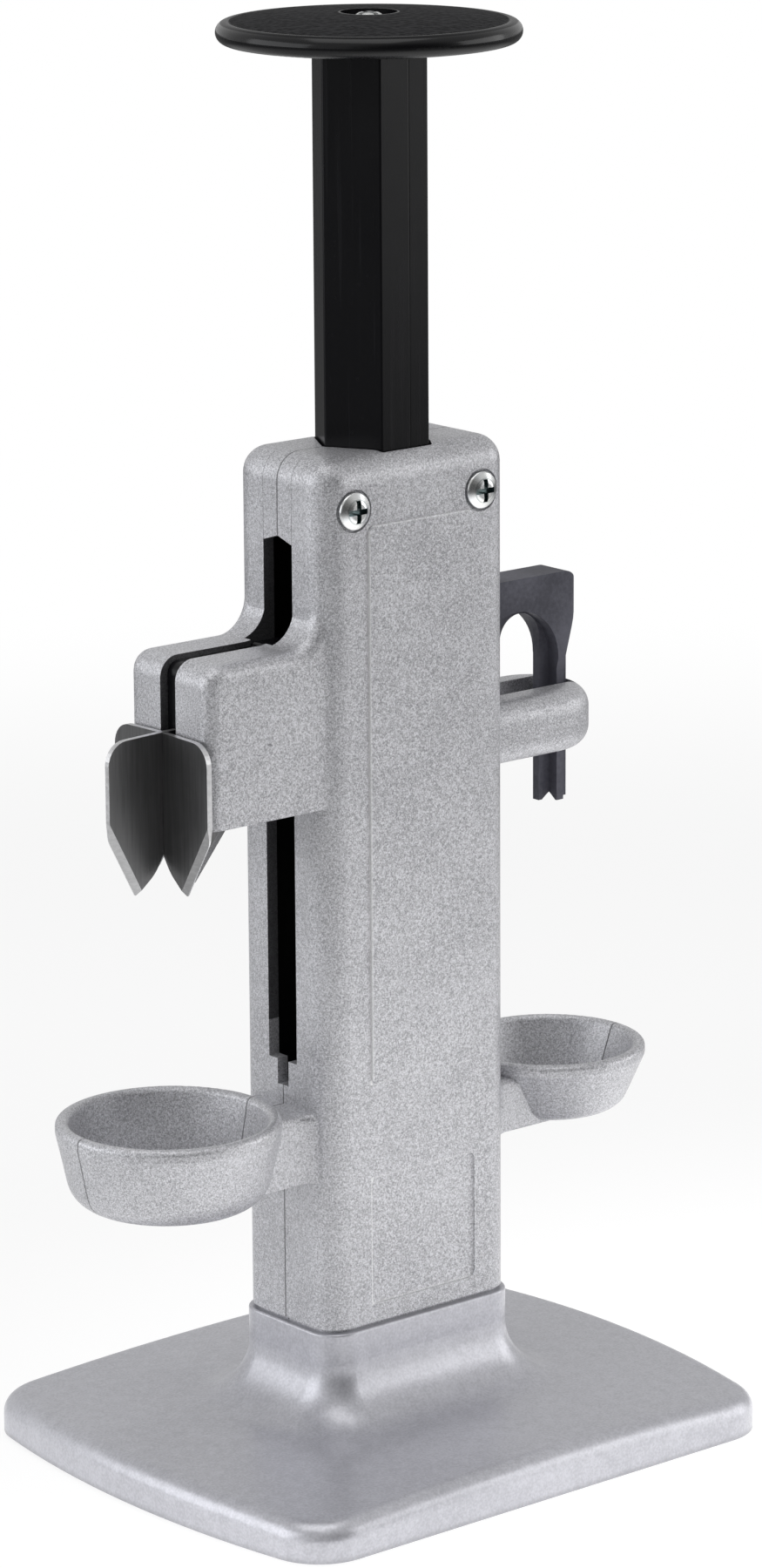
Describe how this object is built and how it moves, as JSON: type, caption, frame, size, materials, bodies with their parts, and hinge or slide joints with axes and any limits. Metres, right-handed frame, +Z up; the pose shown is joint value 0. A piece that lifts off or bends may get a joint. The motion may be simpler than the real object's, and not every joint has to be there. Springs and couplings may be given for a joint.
{
  "type": "cherry and plum pitter",
  "caption": "Countertop hand pitter with a sliding plunger that drives a cross blade over a plum cup and a pitting rod over a cherry tray on a cast foot.",
  "frame": {"origin": "on the ground, under the middle of the bounding box", "axes": "+X to the cherry side, +Y to the back, +Z up along the plunger's travel"},
  "size_m": [0.1428, 0.1082, 0.2923],
  "materials": {
    "foot_paint": "satin silver paint on a casting",
    "column_paint": "fine hammer-grain silver paint on a casting",
    "black_moulding": "black moulding, half gloss",
    "disc_moulding": "black, leather-grained top and glossy rim",
    "blade_steel": "stainless sheet with bright ground edges",
    "zinc": "bright zinc plate",
    "foot_rubber": "matt black rubber"
  },
  "bodies": {
    "housing": {"base": "foot_paint", "front_shell": "column_paint", "rear_shell": "column_paint", "column_screws": "zinc", "base_screws": "zinc", "foot_front_left": "foot_rubber", "foot_rear_left": "foot_rubber", "foot_front_right": "foot_rubber", "foot_rear_right": "foot_rubber"},
    "plunger": {"plunger": "black_moulding", "palm_disc": "disc_moulding", "disc_screw": "zinc", "blade_plate": "blade_steel", "blade_cross_plate": "blade_steel", "blade_rivets": "zinc"}
  },
  "joints": [
    {"name": "plunger_slide", "type": "slide", "parent": "housing", "child": "plunger", "axis": [0, 0, 1], "range_m": [-0.06, 0.015]}
  ]
}
